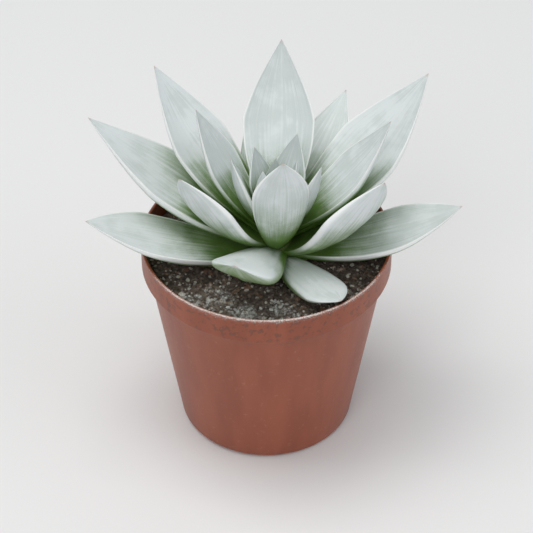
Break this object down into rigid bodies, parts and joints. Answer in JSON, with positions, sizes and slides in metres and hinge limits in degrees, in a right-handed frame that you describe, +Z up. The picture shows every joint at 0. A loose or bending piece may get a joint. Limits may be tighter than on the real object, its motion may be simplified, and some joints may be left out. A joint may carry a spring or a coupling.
{
  "type": "potted succulent",
  "caption": "Echeveria rosette with thick pointed silver-frosted leaves, rooted in soil in a round tapered plastic grower's pot.",
  "frame": {"origin": "middle of the pot's underside, on the plane that the pot stands on", "axes": "+Z up along the pot's axis; the picture looks along +Y, with +X to its right"},
  "size_m": [0.1325, 0.0989, 0.1375],
  "materials": {
    "leaf": "waxy leaf skin with a satin silver-white frosting that fades to green near the stem",
    "heart": "young leaves with the same satin silver-white frosting",
    "stem": "matte green",
    "soil": "crumbly dark peat with pale grit, dusted silver where the leaves do not shelter it",
    "pot": "thin moulded terracotta-coloured plastic, satin, with silver overspray along the rim"
  },
  "bodies": {
    "root": {"pot": "pot", "soil": "soil", "stem": "stem", "heart": "heart", "leaf_01": "leaf", "leaf_02": "leaf", "leaf_03": "leaf", "leaf_04": "leaf", "leaf_05": "leaf", "leaf_06": "leaf", "leaf_07": "leaf", "leaf_08": "leaf", "leaf_09": "leaf", "leaf_10": "leaf", "leaf_11": "leaf", "leaf_12": "leaf", "leaf_13": "leaf", "leaf_14": "leaf", "leaf_15": "leaf", "leaf_16": "leaf", "leaf_17": "leaf", "leaf_18": "leaf"}
  },
  "joints": []
}
